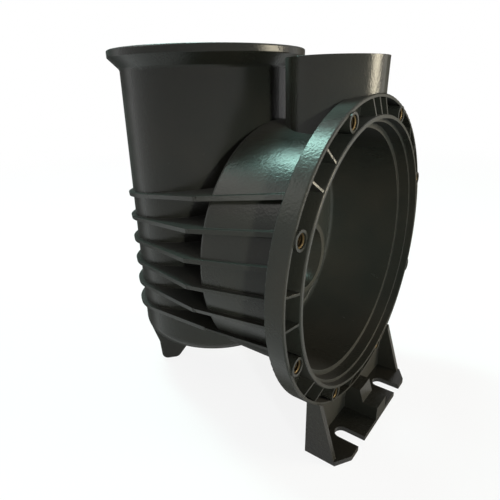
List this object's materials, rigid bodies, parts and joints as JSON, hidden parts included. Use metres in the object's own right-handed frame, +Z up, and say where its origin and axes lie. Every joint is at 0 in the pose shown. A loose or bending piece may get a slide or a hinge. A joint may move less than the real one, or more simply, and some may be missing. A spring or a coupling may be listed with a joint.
{
  "type": "volute pump casing",
  "caption": "Moulded pump casing: flared strainer pot, round volute drum with slanting ribs, stepped motor flange with threaded inserts, upright discharge port and slotted foot.",
  "frame": {"origin": "on the pump axis, in the plane of the motor flange's outer lip", "axes": "+X along the pump axis out of the motor flange, +Z up along the discharge port"},
  "size_m": [0.2689, 0.2414, 0.3016],
  "materials": {
    "casing": "black glass-filled thermoplastic, semi-gloss, finely grained",
    "inserts": "turned brass, dull"
  },
  "bodies": {
    "root": {"casing": "casing", "flange_inserts": "inserts"}
  },
  "joints": []
}
